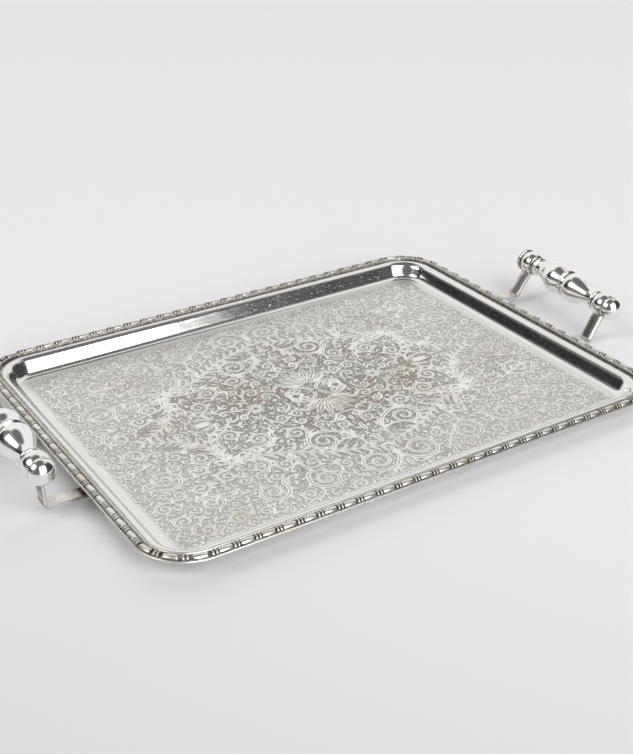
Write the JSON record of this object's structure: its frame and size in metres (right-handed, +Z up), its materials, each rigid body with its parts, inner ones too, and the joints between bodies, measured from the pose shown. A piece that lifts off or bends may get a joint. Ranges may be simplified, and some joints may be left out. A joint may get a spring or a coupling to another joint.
{
  "type": "serving tray",
  "caption": "Rectangular silver-plated serving tray with rounded corners, a coved wall, a bead-and-reel rim border and turned bar handles on bent strip brackets.",
  "frame": {"origin": "middle of the tray's flat underside, on the table", "axes": "+X along the tray's length towards the right handle, +Y across its width towards the back, +Z up"},
  "size_m": [0.4902, 0.306, 0.0488],
  "materials": {
    "tray_silver": "polished silver plate, floor engraved and lightly tarnished",
    "border_silver": "silver plate, dark tarnish in the recesses",
    "handle_silver": "polished silver plate, brown tarnish at the joints",
    "rod_steel": "plain steel, hidden"
  },
  "bodies": {
    "root": {"tray_body": "tray_silver", "edge_wire": "tray_silver", "border_front": "border_silver", "border_right": "border_silver", "border_back": "border_silver", "border_left": "border_silver", "border_corner_back_right": "border_silver", "border_corner_back_left": "border_silver", "border_corner_front_left": "border_silver", "border_corner_front_right": "border_silver", "bracket_left_front": "handle_silver", "bracket_left_back": "handle_silver", "bracket_right_front": "handle_silver", "bracket_right_back": "handle_silver", "grip_left": "handle_silver", "grip_right": "handle_silver", "boss_left_front": "handle_silver", "boss_left_back": "handle_silver", "boss_right_front": "handle_silver", "boss_right_back": "handle_silver", "end_knob_left_front": "handle_silver", "end_knob_left_back": "handle_silver", "end_knob_right_front": "handle_silver", "end_knob_right_back": "handle_silver", "tie_rod_left": "rod_steel", "tie_rod_right": "rod_steel"}
  },
  "joints": []
}
